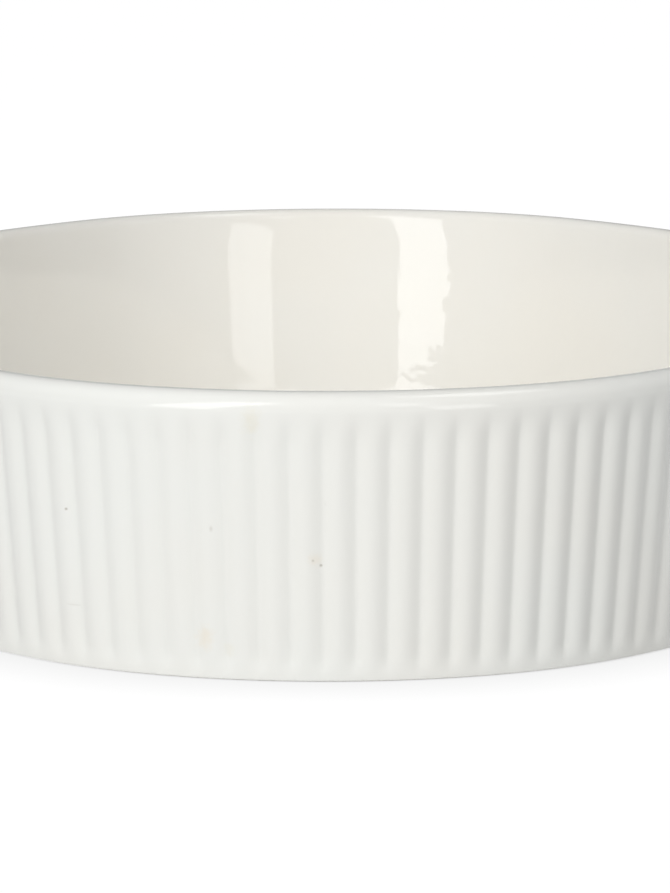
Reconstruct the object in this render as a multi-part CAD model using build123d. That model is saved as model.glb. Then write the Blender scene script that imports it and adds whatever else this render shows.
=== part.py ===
from build123d import *
import math
import os

os.makedirs("parts", exist_ok=True)

# Oval ribbed ramekin: one fired ceramic body with a lining glaze inside, an outer glaze over the
# ribs and the lip, and a thin base glaze inside the bare foot ring.
# The origin is the centre of the foot, +Z is up, and the long axis of the oval lies along Y.

# Plan: a four-centre oval
length = 200.0
width = 140.0
end_radius = 50.0
height = 32.0

# Wall and lip, measured over the glaze
wall_draft = 5.5
liner_draft = 8.5
lip_thickness = 4.2
lip_outer_radius = 2.0
lip_inner_radius = 1.6

# Floor, heel and foot
floor_thickness = 3.6
floor_fillet_radius = 5.0
heel_radius = 0.8
foot_ring_width = 3.6
foot_recess_depth = 1.2
floor_plate_inset = 30.0

# Ribs: each has a flat crest and two sloping flanks that meet the next rib in a narrow groove.
# The grooves run out below the lip and into the heel's round.
rib_count = 144
first_groove_share = 0.72
crest_start_share = 0.3
rib_depth = 0.45
clay_rib_depth = 0.6
crest_setback = 0.08
lip_band_height = 2.4
groove_top_run_out = 3.0
groove_heel_run_out = 1.8
groove_clearance = 0.3
cut_overrun = 1.0
smallest_edge = 0.01

# Glaze
glaze_thickness = 0.3
bare_foot_height = 0.3

# Small rounds are turned as a few straight facets: the glaze is smooth, the clay under it plainer
glaze_lip_facets = 2
glaze_fillet_facets = 3
clay_lip_facets = 1
clay_fillet_facets = 2
heel_facets = 2

# The oval has a side arc and an end arc that are tangent where the line of their centres cuts it
half_length = length / 2
half_width = width / 2
end_centre = half_length - end_radius
side_radius = (end_centre**2 + half_width**2 - end_radius**2) / (2 * (half_width - end_radius))
side_centre = side_radius - half_width
side_turn = math.degrees(math.atan2(end_centre, side_centre))
end_turn = 180 - 2 * side_turn

draft_slope = math.tan(math.radians(wall_draft))
liner_slope = math.tan(math.radians(liner_draft))


def round_reach(radius, overhang):
    """How far a round reaches along a level face and a wall that leans out over it by this angle."""
    return radius * math.tan(math.radians(45 + overhang / 2))


def oval(inset):
    """The closed plan line that lies this far inside the rim, from +X round through +Y."""
    side = side_radius - inset
    end = end_radius - inset
    return Wire(
        [
            CenterArc((-side_centre, 0), side, 0, side_turn).edge(),
            CenterArc((0, end_centre), end, side_turn, end_turn).edge(),
            CenterArc((side_centre, 0), side, 180 - side_turn, 2 * side_turn).edge(),
            CenterArc((0, -end_centre), end, 180 + side_turn, end_turn).edge(),
            CenterArc((-side_centre, 0), side, -side_turn, side_turn).edge(),
        ]
    )


def plate(inset, low, high):
    """A flat oval plate between two heights."""
    return extrude(Pos(0, 0, low) * make_face(oval(inset)), high - low)


def corner_points(before, corner, after, radius, facets):
    """The corner itself, or the ends of the straight facets that round it."""
    if radius == 0:
        return [corner]
    inwards = (corner - before).normalized()
    onwards = (after - corner).normalized()
    turn = inwards.get_angle(onwards)
    start = corner - inwards * radius * math.tan(math.radians(turn / 2))
    across = (onwards - inwards * math.cos(math.radians(turn))).normalized()
    centre = start + across * radius
    points = []
    for step in range(facets + 1):
        angle = math.radians(turn * step / facets)
        points.append(centre + (inwards * math.sin(angle) - across * math.cos(angle)) * radius)
    return points


def swept(corners):
    """A section of (inset, height, corner radius, facets) carried once round the oval."""
    places = [Vector(half_width - inset, 0, z) for inset, z, _, _ in corners]
    points = []
    for number, (_, _, radius, facets) in enumerate(corners):
        before = places[number - 1]
        after = places[(number + 1) % len(corners)]
        for point in corner_points(before, places[number], after, radius, facets):
            if not points or (point - points[-1]).length > smallest_edge:
                points.append(point)
    return sweep(make_face(Polyline(*points, close=True)), path=oval(0))


def sharp(inset, z):
    """A section corner with no round."""
    return (inset, z, 0, 0)


def outer_inset(z, cover):
    """Inset of the outer wall face at a height, under this much glaze."""
    reach = round_reach(lip_outer_radius, wall_draft)
    face = (height - z) * draft_slope - reach * math.sin(math.radians(wall_draft))
    return face + cover / math.cos(math.radians(wall_draft))


def inner_inset(z, cover):
    """Inset of the inner wall face at a height, under this much glaze."""
    reach = round_reach(lip_inner_radius, -liner_draft)
    face = (height - z) * liner_slope - reach * math.sin(math.radians(liner_draft))
    return lip_thickness + face - cover / math.cos(math.radians(liner_draft))


def inner_corners(cover, lip_facets, fillet_facets):
    """Section corners of the inside, from the lip down to the middle of the floor."""
    rim = height - cover
    floor = floor_thickness - cover
    return [
        (inner_inset(rim, cover), rim, lip_inner_radius - cover, lip_facets),
        (inner_inset(floor, cover), floor, floor_fillet_radius + cover, fillet_facets),
        sharp(floor_plate_inset, floor),
    ]


def heel_round(cover):
    """Height of the heel's corner and the radius of its round, under this much glaze."""
    return cover - glaze_thickness, heel_radius + glaze_thickness - cover


def outer_corners(cover, lip_facets):
    """Section corners of the outside, from the heel up to the lip, under this much glaze."""
    heel, radius = heel_round(cover)
    rim = height - cover
    return [
        (outer_inset(heel, cover), heel, radius, heel_facets),
        (outer_inset(rim, cover), rim, lip_outer_radius - cover, lip_facets),
    ]


def outer_block(cover, lip_facets):
    """A ring with the outer form of the dish, solid inwards as far as the floor plate."""
    corners = outer_corners(cover, lip_facets)
    low = corners[0][1]
    high = corners[-1][1]
    return swept([sharp(floor_plate_inset, low)] + corners + [sharp(floor_plate_inset, high)])


def ribbed_face(z, cover, depth, crest_shares):
    """The outline of all ribs at one height: a groove, then the ends of the crest, for each rib."""
    crest = outer_inset(z, cover) + crest_setback
    rim = oval(0)

    def across(count, inset):
        share = (count + first_groove_share) / rib_count % 1
        along = rim % share
        outwards = Vector(along.Y, -along.X)
        return rim @ share - outwards * inset + Vector(0, 0, z)

    points = []
    for rib in range(rib_count):
        points.append(across(rib, crest + depth))
        points += [across(rib + share, crest) for share in crest_shares]
    return make_face(Polyline(*points, close=True))


def grooves(cover, depth, crest_shares):
    """What is cut from a smooth wall to leave the ribs, with sloping run-outs at both ends."""
    top = height - lip_band_height
    top_full = top - groove_top_run_out
    heel, radius = heel_round(cover)
    bottom = heel + round_reach(radius, -wall_draft) * math.cos(math.radians(wall_draft))
    bottom_full = bottom + groove_heel_run_out
    deep = crest_setback + depth + groove_clearance
    band = swept(
        [
            sharp(outer_inset(bottom, cover) - cut_overrun, bottom),
            sharp(outer_inset(bottom, cover), bottom),
            sharp(outer_inset(bottom_full, cover) + deep, bottom_full),
            sharp(outer_inset(top_full, cover) + deep, top_full),
            sharp(outer_inset(top, cover), top),
            sharp(outer_inset(top, cover) - cut_overrun, top),
        ]
    )
    low = ribbed_face(bottom - cut_overrun, cover, depth, crest_shares)
    high = ribbed_face(top + cut_overrun, cover, depth, crest_shares)
    return band - loft([low, high], ruled=True)


# The clay ribs have a sharp crest, and the glaze over them a flat one
clay_grooves = grooves(glaze_thickness, clay_rib_depth, [0.5])
glaze_grooves = grooves(0, rib_depth, [crest_start_share, 1 - crest_start_share])

# The foot ring starts where the heel round meets the table
foot_outer_inset = outer_inset(0, glaze_thickness) + round_reach(heel_radius, -wall_draft)
foot_inner_inset = foot_outer_inset + foot_ring_width

# Fired clay body: foot ring, heel, wall, lip and floor
clay_rim = height - glaze_thickness
clay_inside = inner_corners(glaze_thickness, clay_lip_facets, clay_fillet_facets)
wall = swept(
    [
        sharp(floor_plate_inset, foot_recess_depth),
        sharp(foot_inner_inset, foot_recess_depth),
        sharp(foot_inner_inset, 0),
    ]
    + outer_corners(glaze_thickness, clay_lip_facets)
    + clay_inside
)
floor = plate(floor_plate_inset, foot_recess_depth, floor_thickness - glaze_thickness)
clay_body = wall - clay_grooves + floor

# The lining and outer glazes meet where the lip's inner round starts
seam_inset = lip_thickness - lip_inner_radius * math.cos(math.radians(liner_draft))

lining_ring = swept(
    [sharp(seam_inset, height)]
    + inner_corners(0, glaze_lip_facets, glaze_fillet_facets)
    + clay_inside[::-1]
    + [sharp(seam_inset, clay_rim)]
)
lining_floor = plate(floor_plate_inset, floor_thickness - glaze_thickness, floor_thickness)
lining_glaze = lining_ring + lining_floor

under_glaze = outer_block(glaze_thickness, clay_lip_facets) - clay_grooves
over_glaze = outer_block(0, glaze_lip_facets) - glaze_grooves
inside_seam = plate(seam_inset, clay_rim, height + cut_overrun)
bare_foot = plate(-cut_overrun, -cut_overrun, bare_foot_height)
outer_glaze = over_glaze - under_glaze - inside_seam - bare_foot

base_glaze = plate(foot_inner_inset, foot_recess_depth - glaze_thickness, foot_recess_depth)

parts = {
    "clay_body": clay_body,
    "lining_glaze": lining_glaze,
    "outer_glaze": outer_glaze,
    "base_glaze": base_glaze,
}
for name, shape in parts.items():
    shape.label = name
    export_step(shape, f"parts/{name}.step")
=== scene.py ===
import bpy
import math
from mathutils import Matrix, Vector


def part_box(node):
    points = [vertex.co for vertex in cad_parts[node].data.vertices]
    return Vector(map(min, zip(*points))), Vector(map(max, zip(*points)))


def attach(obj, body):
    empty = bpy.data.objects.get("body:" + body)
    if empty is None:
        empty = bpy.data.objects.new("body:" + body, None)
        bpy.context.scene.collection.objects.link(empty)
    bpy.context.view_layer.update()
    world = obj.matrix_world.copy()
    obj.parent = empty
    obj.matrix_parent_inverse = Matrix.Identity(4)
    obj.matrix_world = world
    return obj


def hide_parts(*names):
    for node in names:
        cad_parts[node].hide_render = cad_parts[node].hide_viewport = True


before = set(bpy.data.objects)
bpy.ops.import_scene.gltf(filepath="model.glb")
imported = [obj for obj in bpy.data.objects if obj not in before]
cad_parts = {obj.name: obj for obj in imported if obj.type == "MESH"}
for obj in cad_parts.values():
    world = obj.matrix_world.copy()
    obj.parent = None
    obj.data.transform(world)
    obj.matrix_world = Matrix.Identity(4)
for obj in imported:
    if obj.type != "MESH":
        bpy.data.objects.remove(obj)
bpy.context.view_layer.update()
print("frame loaded:", sorted(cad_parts))

mm = 0.001  # all other lengths are in metres
rimLow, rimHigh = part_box("outer_glaze")
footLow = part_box("clay_body")[0]

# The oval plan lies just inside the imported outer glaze, and its ends have their own radius
plan = {
    "halfWidth": (rimHigh.x - rimLow.x) / 2 - 0.01 * mm,
    "halfLength": (rimHigh.y - rimLow.y) / 2 - 0.01 * mm,
    "endRadius": 49.99 * mm,
    "top": rimHigh.z,
    "foot": footLow.z,
}

# Ribs that fade out under the lip and above the heel, cut deeper in the clay than in its glaze
ribs = {
    "count": 144,
    "firstGroove": 0.72,  # share of a rib
    "depth": 0.355 * mm,
    "clayDepth": 0.55 * mm,
    "grooveSoftness": 0.32,
    "crowding": 0.55,  # how far mesh columns crowd towards the grooves
    "fadeTop": 2.0 * mm,
    "fadeTopLength": 3.6 * mm,
    "fadeHeel": 0.8 * mm,
    "fadeHeelLength": 1.9 * mm,
}

# Wall, lip and floor over the glaze, with drafts in degrees
wall = {
    "outerDraft": 5.5,
    "innerDraft": 8.8,
    "flareDraft": 12,
    "flareDepth": 3.4 * mm,
    "flareRound": 20 * mm,
    "lipThickness": 4.2 * mm,
    "lipOuterRound": 2.0 * mm,
    "lipInnerRound": 1.5 * mm,
    "seam": 2.25 * mm,  # where the two glazes meet on the lip
    "floorThickness": 3.6 * mm,
    "floorRound": 3.6 * mm,
    "floorEdge": 30 * mm,  # the floor is plain further in than this
    "heelRound": 0.45 * mm,
    "glaze": 0.3 * mm,
    "bareFoot": 0.1 * mm,
    "skinGap": 0.02 * mm,  # keeps the clay clear of the glaze over it
}

foot = {
    "ringWidth": 3.6 * mm,
    "recess": 1.2 * mm,
    "innerRound": 0.5 * mm,
    "innerLean": 0.2 * mm,
}

meshDetail = {
    "roundStep": 7.5,  # degrees
    "straightTurn": 1,  # degrees
    "smallestEdge": 0.001 * mm,
    "sharpAngle": 55,  # degrees
    "capRings": 14,
}


def planArcs():
    # Side arcs and end arcs meet where they share a tangent
    halfWidth = plan["halfWidth"]
    endRadius = plan["endRadius"]
    endCentre = plan["halfLength"] - endRadius
    sideRadius = (endCentre**2 + halfWidth**2 - endRadius**2) / (2 * (halfWidth - endRadius))
    sideCentre = sideRadius - halfWidth
    sideTurn = math.atan2(endCentre, sideCentre)
    endTurn = math.pi - 2 * sideTurn
    # Each arc: centre, radius, start angle, turn
    return [
        ((-sideCentre, 0), sideRadius, 0, sideTurn),
        ((0, endCentre), endRadius, sideTurn, endTurn),
        ((sideCentre, 0), sideRadius, math.pi - sideTurn, 2 * sideTurn),
        ((0, -endCentre), endRadius, math.pi + sideTurn, endTurn),
        ((-sideCentre, 0), sideRadius, -sideTurn, sideTurn),
    ]


arcs = planArcs()
rimLength = sum(radius * turn for _, radius, _, turn in arcs)


def station(share):
    # Place on the rim line and the outward direction there, by share of the way round
    left = (share % 1) * rimLength
    for centre, radius, start, turn in arcs:
        if left <= radius * turn:
            break
        left -= radius * turn
    angle = start + left / radius
    away = (math.cos(angle), math.sin(angle))
    return centre[0] + radius * away[0], centre[1] + radius * away[1], away[0], away[1]


def ribStations(columnsEach):
    # Columns crowd towards the grooves, where the surface turns fastest
    stations = []
    for rib in range(ribs["count"]):
        for column in range(columnsEach):
            phase = column / columnsEach
            phase -= ribs["crowding"] * math.sin(2 * math.pi * phase) / (2 * math.pi)
            share = (rib + ribs["firstGroove"] + phase) / ribs["count"]
            stations.append((*station(share), phase))
    return stations


def plainStations(count):
    # Evenly spaced columns, all with the phase of a rib's crest
    return [(*station(number / count), 0.5) for number in range(count)]


def grooveShare(phase):
    # 1 in the groove, 0 on the crest: convex ribs with a softened valley between them
    soft = ribs["grooveSoftness"]
    rise = math.sqrt(math.sin(math.pi * phase) ** 2 + soft**2) - soft
    return 1 - rise / (math.sqrt(1 + soft**2) - soft)


def smooth(value):
    value = min(1, max(0, value))
    return value * value * (3 - 2 * value)


def ribFade(z):
    # 1 where the ribs have their full depth, 0 under the lip and at the heel
    down = plan["top"] - ribs["fadeTop"] - z
    up = z - plan["foot"] - ribs["fadeHeel"]
    return smooth(down / ribs["fadeTopLength"]) * smooth(up / ribs["fadeHeelLength"])


def roundReach(radius, overhang):
    # How far a round reaches along a level face and a wall that leans out over it
    return radius * math.tan(math.radians(45 + overhang / 2))


def outerInset(z, cover=0):
    # Inset of the outer face from the rim line at a height, under this much glaze
    lean = math.radians(wall["outerDraft"])
    face = (plan["top"] - z) * math.tan(lean)
    face -= roundReach(wall["lipOuterRound"], wall["outerDraft"]) * math.sin(lean)
    return face + cover / math.cos(lean)


def innerInset(z, cover):
    lean = math.radians(wall["innerDraft"])
    face = wall["lipThickness"] + (plan["top"] - z) * math.tan(lean)
    face -= roundReach(wall["lipInnerRound"], -wall["innerDraft"]) * math.sin(lean)
    return face - cover / math.cos(lean)


def footInnerInset():
    heelEnd = outerInset(0, wall["glaze"]) + roundReach(wall["heelRound"], -wall["outerDraft"])
    return heelEnd + foot["ringWidth"]


def innerCorners(cover):
    # From the lip down to the floor: the wall flares a little just under the lip
    top = plan["top"] - cover
    level = wall["floorThickness"] - cover
    flare = plan["top"] - wall["flareDepth"]
    edge = innerInset(flare, cover) - (top - flare) * math.tan(math.radians(wall["flareDraft"]))
    return [
        (edge, top, wall["lipInnerRound"] - cover),
        (innerInset(flare, cover), flare, wall["flareRound"]),
        (innerInset(level, cover), level, wall["floorRound"] + cover),
        (wall["floorEdge"], level, 0),
    ]


def roundedPath(corners, step):
    # Section line through (inset, z, radius) corners, with rounds and evenly split straights
    places = [Vector((inset, z)) for inset, z, _ in corners]
    points = [places[0]]
    for number in range(1, len(places) - 1):
        radius = corners[number][2]
        here = places[number]
        inwards = (here - places[number - 1]).normalized()
        onwards = (places[number + 1] - here).normalized()
        turn = inwards.angle(onwards)
        if radius == 0 or turn < math.radians(meshDetail["straightTurn"]):
            points.append(here)
            continue
        start = here - inwards * radius * math.tan(turn / 2)
        across = (onwards - inwards * math.cos(turn)).normalized()
        centre = start + across * radius
        parts = max(2, round(math.degrees(turn) / meshDetail["roundStep"]))
        for part in range(parts + 1):
            angle = turn * part / parts
            swing = inwards * math.sin(angle) - across * math.cos(angle)
            points.append(centre + swing * radius)
    points.append(places[-1])
    path = [points[0]]
    for point in points[1:]:
        gap = point - path[-1]
        if gap.length < meshDetail["smallestEdge"]:
            continue
        parts = math.ceil(gap.length / step)
        start = path[-1]
        path += [start + gap * (part + 1) / parts for part in range(parts)]
    return path


def sectionRows(path, depth):
    # Rows for ringMesh: each point of the section with the rib depth that it takes
    return [(point.x, point.y, depth) for point in path]


def addObject(name, data):
    thing = bpy.data.objects.new(name, data)
    bpy.context.scene.collection.objects.link(thing)
    return thing


def ringMesh(name, stations, rows, closed=False):
    # Carries a section round the oval, closed on itself or with both ends capped to the middle
    count = len(stations)
    verts = []
    grooveShadeMask = []
    for inset, z, depth in rows:
        fade = ribFade(z) if depth else 0
        for x, y, outX, outY, phase in stations:
            groove = grooveShare(phase) if depth else 0
            move = inset + depth * fade * groove
            verts.append((x - outX * move, y - outY * move, z))
            # Painted shade: how deep in a groove each point lies, for darkening the glaze there
            grooveShadeMask.append(fade * groove)
    faces = []

    def strip(low, high):
        for column in range(count):
            after = (column + 1) % count
            faces.append((low + column, low + after, high + after, high + column))

    def cap(row, flip):
        ring = row * count
        z = rows[row][1]
        edge = verts[ring:ring + count]
        for step in range(1, meshDetail["capRings"]):
            share = 1 - step / meshDetail["capRings"]
            start = len(verts)
            for x, y, _ in edge:
                verts.append((x * share, y * share, z))
                grooveShadeMask.append(0)
            if flip:
                strip(start, ring)
            else:
                strip(ring, start)
            ring = start
        middle = len(verts)
        verts.append((0, 0, z))
        grooveShadeMask.append(0)
        for column in range(count):
            after = (column + 1) % count
            if flip:
                faces.append((ring + after, ring + column, middle))
            else:
                faces.append((ring + column, ring + after, middle))

    for row in range(len(rows) - 1):
        strip(row * count, (row + 1) * count)
    if closed:
        strip((len(rows) - 1) * count, 0)
    else:
        cap(len(rows) - 1, False)
        cap(0, True)
    mesh = bpy.data.meshes.new(name)
    mesh.from_pydata(verts, [], faces)
    mesh.update()
    layer = mesh.attributes.new("grooveShadeMask", "FLOAT", "POINT")
    layer.data.foreach_set("value", grooveShadeMask)
    mesh.polygons.foreach_set("use_smooth", [True] * len(mesh.polygons))
    mesh.set_sharp_from_angle(angle=math.radians(meshDetail["sharpAngle"]))
    return addObject(name, mesh)


def fitPiece(piece, node, material):
    piece.data.materials.append(material)
    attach(piece, "root")
    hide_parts(node)
    print("piece:", piece.name, len(piece.data.polygons), "faces")


def addNode(tree, kind, **values):
    node = tree.nodes.new(kind)
    for key, value in values.items():
        setattr(node, key, value)
    return node


def feed(tree, socket, value):
    # A plain number or colour is set on the socket, anything else is linked to it
    if isinstance(value, (int, float, tuple)):
        socket.default_value = value
    else:
        tree.links.new(value, socket)


def noise(tree, scale, detail, place):
    node = addNode(tree, "ShaderNodeTexNoise")
    node.inputs["Detail"].default_value = detail
    tree.links.new(place, node.inputs["Vector"])
    feed(tree, node.inputs["Scale"], scale)
    return node.outputs["Fac"]


def maths(tree, operation, first, second):
    node = addNode(tree, "ShaderNodeMath", operation=operation)
    feed(tree, node.inputs[0], first)
    feed(tree, node.inputs[1], second)
    return node.outputs[0]


def vectorMaths(tree, operation, first, second=None):
    node = addNode(tree, "ShaderNodeVectorMath", operation=operation)
    tree.links.new(first, node.inputs[0])
    if second:
        tree.links.new(second, node.inputs[1])
    return node.outputs["Value" if operation == "LENGTH" else "Vector"]


def blendColor(tree, share, first, second):
    node = addNode(tree, "ShaderNodeMix", data_type="RGBA")
    feed(tree, node.inputs[0], share)
    feed(tree, node.inputs[6], first)
    feed(tree, node.inputs[7], second)
    return node.outputs[2]


def ramp(tree, value, low, high):
    # Rises smoothly from 0 at low to 1 at high
    node = addNode(tree, "ShaderNodeMapRange", clamp=True, interpolation_type="SMOOTHSTEP")
    tree.links.new(value, node.inputs["Value"])
    node.inputs["From Min"].default_value = low
    node.inputs["From Max"].default_value = high
    return node.outputs["Result"]


def evenRamp(tree, value, start, end):
    # Goes evenly from start to end as the value goes from 0 to 1
    node = addNode(tree, "ShaderNodeMapRange")
    tree.links.new(value, node.inputs["Value"])
    node.inputs["To Min"].default_value = start
    node.inputs["To Max"].default_value = end
    return node.outputs["Result"]


def objectPlace(tree):
    return addNode(tree, "ShaderNodeTexCoord").outputs["Object"]


def newGroup(name, inputs, outputs):
    group = bpy.data.node_groups.new(name, "ShaderNodeTree")
    for label, kind, value in inputs:
        socket = group.interface.new_socket(name=label, in_out="INPUT", socket_type=kind)
        socket.default_value = value
    for label, kind in outputs:
        group.interface.new_socket(name=label, in_out="OUTPUT", socket_type=kind)
    start = group.nodes.new("NodeGroupInput")
    end = group.nodes.new("NodeGroupOutput")
    return group, start.outputs, end.inputs


# What all glazes share: noises are (scale, detail), ramps are (low, high)
coatGrain = {
    "driftNoise": (38, 3),
    "driftRamp": (0.35, 0.7),
    "grooveShadePower": 2.0,
    "waveDetail": 1,
    "calmNoise": (16, 1),
    "calmRamp": (0.35, 0.65),
    "calmWaves": 0.25,
    "sideBlend": 0.008,
    "sideWaves": 0.15,
    "pitRamp": (0.16, 0.02),
    "pitDepth": 0.00003,
    "roughNoise": (90, 3),
    "roughShare": 0.03,
}


def makeGlazeGroup():
    # White glaze: soft drift of tone, painted shade that darkens the grooves, faint waves and fine
    # pits
    group, given, made = newGroup(
        "glazeCoat",
        [
            ("Glaze", "NodeSocketColor", (0.8, 0.8, 0.8, 1)),
            ("Drift", "NodeSocketColor", (0.8, 0.8, 0.75, 1)),
            ("Groove Shade", "NodeSocketColor", (0.7, 0.7, 0.68, 1)),
            ("Groove Shade Share", "NodeSocketFloat", 0.3),
            ("Wave Scale", "NodeSocketFloat", 220.0),
            ("Wave Height", "NodeSocketFloat", 0.000004),
            ("Calm Left Of", "NodeSocketFloat", -1.0),
            ("Pit Scale", "NodeSocketFloat", 900.0),
            ("Pit Share", "NodeSocketFloat", 0.2),
            ("Gloss", "NodeSocketFloat", 0.06),
        ],
        [
            ("Color", "NodeSocketColor"),
            ("Roughness", "NodeSocketFloat"),
            ("Height", "NodeSocketFloat"),
        ],
    )
    place = objectPlace(group)
    drift = noise(group, *coatGrain["driftNoise"], place)
    drift = ramp(group, drift, *coatGrain["driftRamp"])
    color = blendColor(group, drift, given["Glaze"], given["Drift"])
    # Painted shade: the glaze colour is blended towards a darker tint in the middle of each groove
    paintedGrooveShade = addNode(group, "ShaderNodeAttribute", attribute_name="grooveShadeMask").outputs["Fac"]
    paintedGrooveShade = maths(group, "POWER", paintedGrooveShade, coatGrain["grooveShadePower"])
    paintedGrooveShade = maths(group, "MULTIPLY", paintedGrooveShade, given["Groove Shade Share"])
    color = blendColor(group, paintedGrooveShade, color, given["Groove Shade"])
    group.links.new(color, made["Color"])

    waves = noise(group, given["Wave Scale"], coatGrain["waveDetail"], place)
    calm = noise(group, *coatGrain["calmNoise"], place)
    calm = ramp(group, calm, *coatGrain["calmRamp"])
    calm = maths(group, "ADD", calm, coatGrain["calmWaves"])
    waves = maths(group, "MULTIPLY", waves, calm)
    # Waves can be kept to one side of the dish, as a thick run of glaze does
    across = addNode(group, "ShaderNodeSeparateXYZ")
    group.links.new(place, across.inputs[0])
    side = maths(group, "SUBTRACT", across.outputs["X"], given["Calm Left Of"])
    side = ramp(group, side, 0.0, coatGrain["sideBlend"])
    side = maths(group, "ADD", side, coatGrain["sideWaves"])
    waves = maths(group, "MULTIPLY", waves, side)
    height = maths(group, "MULTIPLY", waves, given["Wave Height"])

    cells = addNode(group, "ShaderNodeTexVoronoi", feature="F1")
    group.links.new(place, cells.inputs["Vector"])
    group.links.new(given["Pit Scale"], cells.inputs["Scale"])
    pits = ramp(group, cells.outputs["Distance"], *coatGrain["pitRamp"])
    rare = noise(group, given["Pit Scale"], 0, place)
    rare = maths(group, "LESS_THAN", rare, given["Pit Share"])
    pits = maths(group, "MULTIPLY", pits, rare)
    pits = maths(group, "MULTIPLY", pits, coatGrain["pitDepth"])
    group.links.new(maths(group, "SUBTRACT", height, pits), made["Height"])

    rough = noise(group, *coatGrain["roughNoise"], place)
    rough = maths(group, "MULTIPLY", rough, coatGrain["roughShare"])
    group.links.new(maths(group, "ADD", rough, given["Gloss"]), made["Roughness"])
    return group


flawGrain = {
    "ragNoise": (1400, 2),
    "ragReach": 2.0,
    "edge": 1.35,
    "depth": 0.004,  # how far a flaw reaches into the wall
}


def makeFlawGroup():
    # A soft-edged stain or pinhole at one place on the surface
    group, given, made = newGroup(
        "glazeFlaw",
        [
            ("Place", "NodeSocketVector", (0, 0, 0)),
            ("Size", "NodeSocketVector", (0.001, 0.001, 0.001)),
            ("Rag", "NodeSocketFloat", 0.4),
        ],
        [("Mask", "NodeSocketFloat")],
    )
    place = objectPlace(group)
    away = vectorMaths(group, "SUBTRACT", place, given["Place"])
    away = vectorMaths(group, "DIVIDE", away, given["Size"])
    distance = vectorMaths(group, "LENGTH", away)
    rag = noise(group, *flawGrain["ragNoise"], place)
    rag = maths(group, "SUBTRACT", rag, 0.5)
    rag = maths(group, "MULTIPLY", rag, given["Rag"])
    rag = maths(group, "MULTIPLY", rag, flawGrain["ragReach"])
    distance = maths(group, "ADD", distance, rag)
    group.links.new(ramp(group, distance, flawGrain["edge"], 0.0), made["Mask"])
    return group


glazeCoat = makeGlazeGroup()
glazeFlaw = makeFlawGroup()


def newMaterial(name):
    material = bpy.data.materials.new(name)
    material.use_nodes = True
    tree = material.node_tree
    shader = tree.nodes["Principled BSDF"]
    return material, tree, shader


def putBump(tree, shader, height, strength):
    bump = addNode(tree, "ShaderNodeBump")
    bump.inputs["Distance"].default_value = 1.0
    bump.inputs["Strength"].default_value = strength
    tree.links.new(height, bump.inputs["Height"])
    tree.links.new(bump.outputs["Normal"], shader.inputs["Normal"])


glazes = {
    "ior": 1.5,
    # darker tint painted into the grooves as shade
    "paintedGrooveShade": (0.79, 0.805, 0.765, 1),
}


def makeGlaze(name, coatValues, flaws=()):
    material, tree, shader = newMaterial(name)
    coat = addNode(tree, "ShaderNodeGroup", node_tree=glazeCoat)
    for label, value in coatValues.items():
        coat.inputs[label].default_value = value
    color = coat.outputs["Color"]
    height = coat.outputs["Height"]
    for place, (wide, tall), rag, tint, share, pit in flaws:
        spot = addNode(tree, "ShaderNodeGroup", node_tree=glazeFlaw)
        spot.inputs["Place"].default_value = place
        spot.inputs["Size"].default_value = (wide, flawGrain["depth"], tall)
        spot.inputs["Rag"].default_value = rag
        color = blendColor(tree, maths(tree, "MULTIPLY", spot.outputs["Mask"], share), color, tint)
        if pit:
            dent = maths(tree, "MULTIPLY", spot.outputs["Mask"], pit)
            height = maths(tree, "SUBTRACT", height, dent)
    tree.links.new(color, shader.inputs["Base Color"])
    tree.links.new(coat.outputs["Roughness"], shader.inputs["Roughness"])
    putBump(tree, shader, height, 1.0)
    shader.inputs["IOR"].default_value = glazes["ior"]
    return material


# The clay's colours, and its mesh: columns for each rib and the longest step along the section
clay = {
    "dark": (0.76, 0.73, 0.66, 1),
    "light": (0.81, 0.79, 0.73, 1),
    "driftNoise": (60, 4),
    "driftRamp": (0.3, 0.7),
    "speck": (0.42, 0.36, 0.29, 1),
    "speckNoise": (2600, 1),
    "speckRamp": (0.70, 0.78),
    "speckShare": 0.35,
    "grainNoise": (1500, 4),
    "grainHeight": 0.00008,
    "grainStrength": 0.8,
    "roughness": 0.62,
    "roughGrain": 0.15,
    "columnsEach": 8,
    "step": 1.6 * mm,
    "ribReach": 0.3 * mm,
    "plainTop": 2 * mm,
}


def makeClayMaterial():
    # Fired clay: matt, faintly speckled, rubbed clean where it stood in the kiln
    material, tree, shader = newMaterial("bareClay")
    place = objectPlace(tree)
    drift = ramp(tree, noise(tree, *clay["driftNoise"], place), *clay["driftRamp"])
    color = blendColor(tree, drift, clay["dark"], clay["light"])
    specks = ramp(tree, noise(tree, *clay["speckNoise"], place), *clay["speckRamp"])
    specks = maths(tree, "MULTIPLY", specks, clay["speckShare"])
    color = blendColor(tree, specks, color, clay["speck"])
    tree.links.new(color, shader.inputs["Base Color"])
    grain = noise(tree, *clay["grainNoise"], place)
    height = maths(tree, "MULTIPLY", grain, clay["grainHeight"])
    putBump(tree, shader, height, clay["grainStrength"])
    rough = maths(tree, "MULTIPLY", grain, clay["roughGrain"])
    rough = maths(tree, "ADD", rough, clay["roughness"])
    tree.links.new(rough, shader.inputs["Roughness"])
    return material


def makeClay():
    top = plan["top"]
    cover = wall["glaze"] + wall["skinGap"]
    path = roundedPath(
        [
            (wall["floorEdge"], foot["recess"], 0),
            (footInnerInset() + foot["innerLean"], foot["recess"], 0),
            (footInnerInset(), 0, foot["innerRound"]),
            (outerInset(0, wall["glaze"]), 0, wall["heelRound"]),
            (outerInset(top - cover, cover), top - cover, wall["lipOuterRound"] - cover),
        ]
        + innerCorners(cover),
        clay["step"],
    )
    rows = []
    for point in path:
        outside = point.x < outerInset(point.y, cover) + clay["ribReach"]
        ribbed = outside and point.y < top - clay["plainTop"]
        rows.append((point.x, point.y, ribs["clayDepth"] if ribbed else 0))
    return ringMesh("clayBody", ribStations(clay["columnsEach"]), rows)


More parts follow.
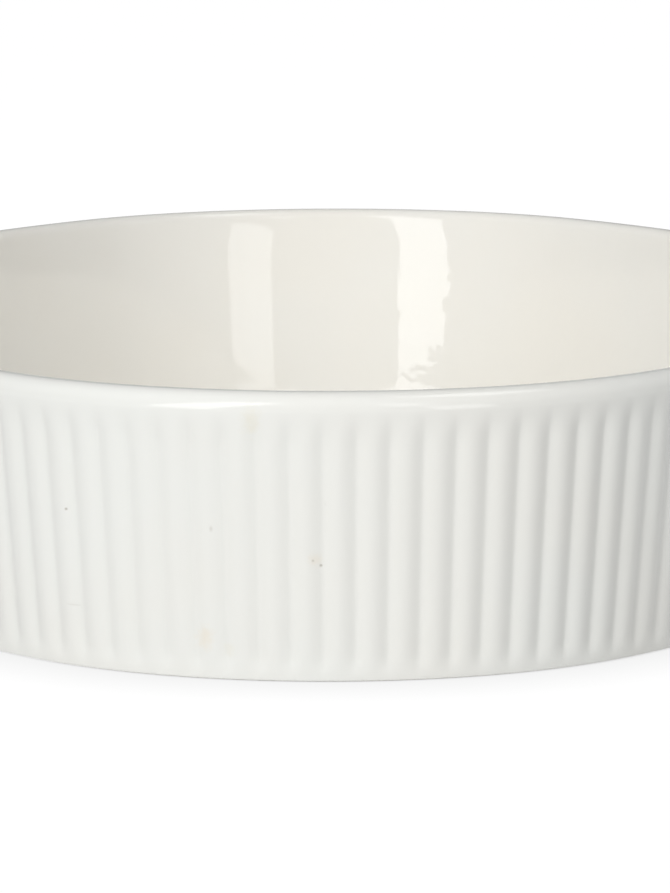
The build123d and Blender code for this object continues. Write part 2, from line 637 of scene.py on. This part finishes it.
lining = {
    "columns": 720,
    "upperStep": 1.0 * mm,
    "lowerStep": 3.0 * mm,
    "coat": {
        # Painted light: the lining gets a lighter, warmer colour than the outer glaze, to make up
        # for the light the inside lacks
        "Glaze": (0.905, 0.891, 0.843, 1),
        "Drift": (0.91, 0.889, 0.831, 1),
        "Groove Shade": glazes["paintedGrooveShade"],
        "Groove Shade Share": 0.0,
        "Wave Scale": 420.0,
        "Wave Height": 0.000036,
        "Calm Left Of": 0.006,
        "Pit Scale": 500.0,
        "Pit Share": 0.08,
        "Gloss": 0.028,
    },
}


def makeLining():
    top = plan["top"]
    seam = wall["seam"]
    glaze = wall["glaze"]
    upper = roundedPath([(seam, top, 0)] + innerCorners(0), lining["upperStep"])
    lower = innerCorners(glaze)[::-1] + [(seam, top - glaze, 0)]
    lower = roundedPath(lower, lining["lowerStep"])
    # From the middle of the underside out to the seam, then over the top and back to the middle
    rows = sectionRows(lower, 0) + sectionRows(upper, 0)
    return ringMesh("liningGlaze", plainStations(lining["columns"]), rows)


outer = {
    "columnsEach": 14,
    "faceStep": 0.8 * mm,
    "underStep": 1.6 * mm,
    "edgeRise": 0.02 * mm,  # the face starts this much higher than the underside of the glaze
    "underEdge": 20 * mm,  # the section runs in to here under the heel before it is cut off
    "coat": {
        "Glaze": (0.866, 0.872, 0.836, 1),
        "Drift": (0.870, 0.865, 0.822, 1),
        "Groove Shade": glazes["paintedGrooveShade"],
        "Groove Shade Share": 0.15,
        "Wave Scale": 240.0,
        "Wave Height": 0.000010,
        "Pit Scale": 700.0,
        "Pit Share": 0.22,
        "Gloss": 0.03,
    },
}

stain = (0.85, 0.82, 0.70, 1)
rust = (0.86, 0.785, 0.655, 1)
speck = (0.30, 0.24, 0.18, 1)

# Stains and pinholes on the front: place, (width, height), raggedness, colour, share, pit depth
outerFlaws = [
    ((-0.00874, -0.09914, 0.0289), (0.0011, 0.0018), 0.6, stain, 0.5, 0),
    ((-0.0138, -0.09553, 0.00467), (0.0010, 0.0015), 0.6, rust, 0.5, 0),
    ((-0.00171, -0.09842, 0.01374), (0.0009, 0.0009), 0.5, rust, 0.35, 0),
    ((-0.01108, -0.09615, 0.00346), (0.0009, 0.0008), 0.8, stain, 0.3, 0),
    ((-0.00203, -0.0984, 0.01363), (0.00017, 0.00017), 0.1, speck, 0.35, 0.00003),
    ((-0.00117, -0.09837, 0.01307), (0.00020, 0.00019), 0.1, speck, 0.55, 0.00004),
    ((-0.0291, -0.08924, 0.01789), (0.00020, 0.00018), 0.1, speck, 0.6, 0.00004),
    ((-0.01304, -0.09698, 0.01692), (0.00022, 0.00035), 0.2, speck, 0.2, 0.00002),
    ((-0.02837, -0.08848, 0.00707), (0.0009, 0.00013), 0.2, speck, 0.12, 0.00001),
]


def makeOuter():
    top = plan["top"]
    seam = wall["seam"]
    glaze = wall["glaze"]
    bare = wall["bareFoot"]
    heel = -glaze
    face = roundedPath(
        [
            (outer["underEdge"], heel, 0),
            (outerInset(heel), heel, wall["heelRound"] + glaze),
            (outerInset(top), top, wall["lipOuterRound"]),
            (seam, top, 0),
        ],
        outer["faceStep"],
    )
    face = [point for point in face if point.y > bare + outer["edgeRise"]]
    under = roundedPath(
        [
            (seam, top - glaze, 0),
            (outerInset(top - glaze, glaze), top - glaze, wall["lipOuterRound"] - glaze),
            (outerInset(0, glaze), 0, wall["heelRound"]),
            (outer["underEdge"], 0, 0),
        ],
        outer["underStep"],
    )
    under = [point for point in under if point.y > bare]
    rows = sectionRows(face, ribs["depth"]) + sectionRows(under, ribs["clayDepth"])
    return ringMesh("outerGlaze", ribStations(outer["columnsEach"]), rows, closed=True)


base = {
    "columns": 480,
    "step": 2 * mm,
    "margin": 0.9 * mm,  # clear of the foot ring
    "edgeRound": 0.12 * mm,
}


def makeBase():
    high = foot["recess"] - wall["skinGap"]
    low = high - wall["glaze"] + wall["skinGap"]
    edge = footInnerInset() + base["margin"]
    path = roundedPath(
        [
            (wall["floorEdge"], low, 0),
            (edge, low, base["edgeRound"]),
            (edge, high, 0),
            (wall["floorEdge"], high, 0),
        ],
        base["step"],
    )
    return ringMesh("baseGlaze", plainStations(base["columns"]), sectionRows(path, 0))


outerMaterial = makeGlaze("whiteGlaze", outer["coat"], outerFlaws)
liningPaintedLightMaterial = makeGlaze("liningGlazePaintedLight", lining["coat"])
clayMaterial = makeClayMaterial()
print("materials made")

fitPiece(makeClay(), "clay_body", clayMaterial)
fitPiece(makeLining(), "lining_glaze", liningPaintedLightMaterial)
fitPiece(makeOuter(), "outer_glaze", outerMaterial)
fitPiece(makeBase(), "base_glaze", outerMaterial)

floor = {
    "size": 8.0,
    "color": (0.44, 0.44, 0.44, 1),
    "roughness": 0.9,
    "glow": 0.9,  # share of glow where the camera or a mirror sees the floor
    "bounce": 0.24,  # share of glow that lights the dish
    "shine": 1.09,
    "contactReach": 14 * mm,
    "contactDark": 0.13,  # at the foot, where the dish hides half of the sky
    "contactSamples": 8,
}


def makeFloor():
    half = floor["size"] / 2
    corners = [(-half, -half, 0), (half, -half, 0), (half, half, 0), (-half, half, 0)]
    mesh = bpy.data.meshes.new("floor")
    mesh.from_pydata(corners, [], [(0, 1, 2, 3)])
    addObject("floor", mesh)
    material, tree, shader = newMaterial("paleFloor")
    shader.inputs["Base Color"].default_value = floor["color"]
    shader.inputs["Roughness"].default_value = floor["roughness"]
    # The floor glows white, with a painted contact shadow close to the dish, where the two touch
    glow = addNode(tree, "ShaderNodeEmission")
    paintedContactShadow = addNode(tree, "ShaderNodeAmbientOcclusion", samples=floor["contactSamples"])
    paintedContactShadow.inputs["Distance"].default_value = floor["contactReach"]
    darkest = floor["shine"] - 2 * floor["contactDark"]
    shade = evenRamp(tree, paintedContactShadow.outputs["AO"], darkest, floor["shine"])
    tree.links.new(shade, glow.inputs["Strength"])
    rays = addNode(tree, "ShaderNodeLightPath").outputs
    seen = maths(tree, "MAXIMUM", rays["Is Camera Ray"], rays["Is Glossy Ray"])
    seen = maths(tree, "MAXIMUM", seen, rays["Is Transmission Ray"])
    # Some of the glow also lights the dish, so that the gap under its heel isn't black
    mixed = addNode(tree, "ShaderNodeMixShader")
    tree.links.new(evenRamp(tree, seen, floor["bounce"], floor["glow"]), mixed.inputs[0])
    tree.links.new(shader.outputs[0], mixed.inputs[1])
    tree.links.new(glow.outputs[0], mixed.inputs[2])
    tree.links.new(mixed.outputs[0], tree.nodes["Material Output"].inputs["Surface"])
    mesh.materials.append(material)


# Light from the tent: low and high are its levels at the sides and overhead
room = {
    "low": 0.12,
    "high": 0.47,
    "right": -0.42,
    "mirrorLow": 0.22,
    "sweepTop": 0.05,
    "sweepEnd": 0.10,
}


def makeWorld():
    world = bpy.data.worlds.new("whiteTent")
    bpy.context.scene.world = world
    world.use_nodes = True
    tree = world.node_tree
    back = tree.nodes["Background"]
    back.inputs["Color"].default_value = (1, 1, 1, 1)
    # Mirrored, the white sweep ends a little above the horizon and the room over it is dimmer
    rays = addNode(tree, "ShaderNodeLightPath").outputs
    mirrored = maths(tree, "MAXIMUM", rays["Is Glossy Ray"], rays["Is Transmission Ray"])
    towards = addNode(tree, "ShaderNodeSeparateXYZ")
    generated = addNode(tree, "ShaderNodeTexCoord").outputs["Generated"]
    tree.links.new(generated, towards.inputs[0])
    sweep = ramp(tree, towards.outputs["Z"], room["sweepEnd"], room["sweepTop"])
    sweep = maths(tree, "MAXIMUM", sweep, room["mirrorLow"])
    mirrored = maths(tree, "MULTIPLY", mirrored, sweep)
    seen = maths(tree, "MAXIMUM", rays["Is Camera Ray"], mirrored)
    # The room gives more light from above than from the sides, and less from the right
    level = evenRamp(tree, towards.outputs["Z"], room["low"], room["high"])
    side = maths(tree, "MULTIPLY", towards.outputs["X"], room["right"])
    side = maths(tree, "ADD", side, 1.0)
    dim = maths(tree, "MULTIPLY", level, maths(tree, "SUBTRACT", 1.0, seen))
    dim = maths(tree, "MULTIPLY", dim, side)
    tree.links.new(maths(tree, "ADD", dim, seen), back.inputs["Strength"])


boxDistance = 1.1

# Softboxes round the dish: azimuth and width in degrees, low and high ends, lean in degrees,
# radiance, and whether the glaze mirrors them
boxes = {
    "keyStrip": (-30, 17.4, 0.05, 1.25, -17, 3.1, True),
    "fillStrip": (31.8, 16.4, 0.05, 0.42, 12, 2.0, True),
    "fillHigh": (19, 12, 0.5, 1.05, 10, 1.5, True),
    "keySoft": (-15, 36, 0.1, 1.3, 0, 2.5, False),
    "fillSoft": (52, 22, 0.9, 1.4, 0, 1.6, False),
}

# A last box hangs over the dish
topBox = {
    "place": (0.33, 0.03, 0.95),
    "turn": -20,
    "width": 0.3,
    "depth": 0.4,
    "radiance": 2.05,
}


def addBox(name, width, tall, radiance, place, target):
    light = bpy.data.lights.new(name, "AREA")
    light.shape = "RECTANGLE"
    light.size = width
    light.size_y = tall
    light.energy = radiance * math.pi * width * tall
    lamp = addObject(name, light)
    lamp.location = place
    lamp.rotation_euler = (target - place).to_track_quat("-Z", "Y").to_euler()
    return lamp


def makeBoxes():
    for name, (azimuth, spread, low, high, lean, radiance, mirrored) in boxes.items():
        turn = math.radians(azimuth)
        middle = (high + low) / 2
        place = Vector((boxDistance * math.sin(turn), -boxDistance * math.cos(turn), middle))
        width = 2 * boxDistance * math.tan(math.radians(spread / 2))
        lamp = addBox(name, width, high - low, radiance, place, Vector((0, 0, middle)))
        lamp.rotation_euler.rotate_axis("Z", math.radians(lean))
        lamp.visible_glossy = mirrored
    place = Vector(topBox["place"])
    below = place - Vector((0, 0, 1))
    lamp = addBox("topBox", topBox["width"], topBox["depth"], topBox["radiance"], place, below)
    lamp.rotation_euler = (0, 0, math.radians(topBox["turn"]))


makeFloor()
makeWorld()
makeBoxes()
print("studio set")

# The photograph's view: angles in degrees, distance from the dish's middle at rim height
view = {
    "pixelWidth": 670,
    "focalPixels": 4980,
    "sensor": 36,
    "clipStart": 0.01,
    "distance": 0.632,
    "elevation": 6.64,
    "pitch": 8.485,
    "yaw": 0.04,
    "roll": -0.13,
}


def makeCamera():
    lens = bpy.data.cameras.new("photoCamera")
    lens.sensor_fit = "HORIZONTAL"
    lens.sensor_width = view["sensor"]
    lens.lens = view["focalPixels"] / view["pixelWidth"] * view["sensor"]
    lens.clip_start = view["clipStart"]
    camera = addObject("photoCamera", lens)
    rise = math.radians(view["elevation"])
    back = view["distance"] * math.cos(rise)
    eye = Vector((0, -back, plan["top"] + view["distance"] * math.sin(rise)))
    pitch = math.radians(view["pitch"])
    yaw = math.radians(view["yaw"])
    roll = math.radians(view["roll"])
    level = math.cos(pitch)
    ahead = Vector((math.sin(yaw) * level, math.cos(yaw) * level, -math.sin(pitch)))
    right = Vector((math.cos(yaw), -math.sin(yaw), 0))
    up = right.cross(ahead)
    tiltedRight = right * math.cos(roll) + up * math.sin(roll)
    tiltedUp = up * math.cos(roll) - right * math.sin(roll)
    turn = Matrix((tiltedRight, tiltedUp, -ahead)).transposed()
    camera.matrix_world = Matrix.Translation(eye) @ turn.to_4x4()
    bpy.context.scene.camera = camera


makeCamera()
bpy.context.scene.view_settings.view_transform = "Standard"
